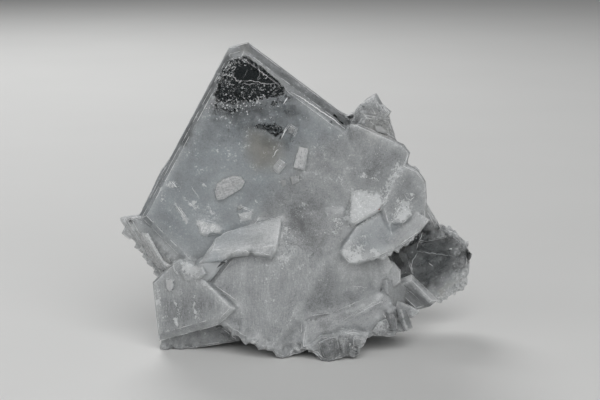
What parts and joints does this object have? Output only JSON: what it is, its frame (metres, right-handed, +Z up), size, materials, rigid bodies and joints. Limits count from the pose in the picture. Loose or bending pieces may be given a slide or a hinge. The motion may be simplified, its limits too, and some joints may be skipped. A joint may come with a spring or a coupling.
{
  "type": "barite specimen",
  "caption": "Barite mineral specimen: tabular, colourless to milky crystals grown together into one free-standing cluster with a large pointed plate.",
  "frame": {"origin": "middle of the bounding box's underside, on the level that the cluster rests on", "axes": "+X to the right along the longest extent as the picture shows it, +Y away from the picture's view, through the cluster's thickness, +Z up"},
  "size_m": [0.0824, 0.0364, 0.0699],
  "materials": {
    "milky_barite": "glassy natural crystal, colourless to milky white, clear in places"
  },
  "bodies": {
    "root": {"barite_cluster": "milky_barite"}
  },
  "joints": []
}
